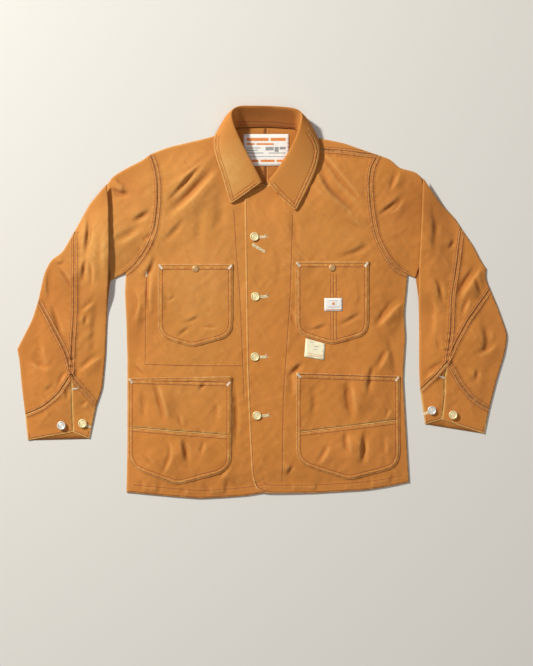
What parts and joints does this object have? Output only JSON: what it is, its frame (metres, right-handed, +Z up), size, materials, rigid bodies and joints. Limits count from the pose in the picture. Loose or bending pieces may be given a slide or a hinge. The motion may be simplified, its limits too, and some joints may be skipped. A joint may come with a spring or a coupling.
{
  "type": "chore jacket",
  "caption": "Hip-length work jacket in duck canvas laid flat and buttoned, open fold-down collar, patch pockets on chest and hips, curved felled sleeve seams and buttoned cuffs.",
  "frame": {"origin": "middle of the jacket's box, on the surface it lies on", "axes": "+X towards the wearer's left sleeve, +Y up the jacket towards the collar, +Z up from the surface; the fronts face +Z"},
  "size_m": [0.9796, 0.7814, 0.0356],
  "materials": {
    "duck_canvas": "firm brown duck canvas, slightly faded at edges and seams",
    "white_weave": "white woven label with plain orange and grey bands",
    "cream_weave": "cream woven tape",
    "button_metal": "pale gold stamped tack button",
    "snap_metal": "antique copper dome snap"
  },
  "bodies": {
    "root": {"back_left": "duck_canvas", "back_right": "duck_canvas", "back_turn_left": "duck_canvas", "chest_pocket_left": "duck_canvas", "chest_pocket_right": "duck_canvas", "collar": "duck_canvas", "cuff_button_left_inner": "button_metal", "cuff_button_left_outer": "button_metal", "cuff_button_right_inner": "button_metal", "cuff_button_right_outer": "button_metal", "cuff_inner_left": "duck_canvas", "cuff_inner_right": "duck_canvas", "cuff_outer_left": "duck_canvas", "cuff_outer_right": "duck_canvas", "front_button_1": "button_metal", "front_button_2": "button_metal", "front_button_3": "button_metal", "front_button_4": "button_metal", "front_left": "duck_canvas", "front_right": "duck_canvas", "hip_pocket_left_lower": "duck_canvas", "hip_pocket_left_upper": "duck_canvas", "hip_pocket_right_lower": "duck_canvas", "hip_pocket_right_upper": "duck_canvas", "neck_label": "white_weave", "pocket_label": "cream_weave", "pocket_snap_left": "snap_metal", "pocket_snap_right": "snap_metal", "seam_label": "cream_weave", "sleeve_back_left": "duck_canvas", "sleeve_back_right": "duck_canvas", "sleeve_cap_left": "duck_canvas", "sleeve_cap_right": "duck_canvas", "sleeve_elbow_left": "duck_canvas", "sleeve_elbow_right": "duck_canvas", "sleeve_inner_left": "duck_canvas", "sleeve_inner_right": "duck_canvas", "sleeve_outer_left": "duck_canvas", "sleeve_outer_right": "duck_canvas"}
  },
  "joints": []
}
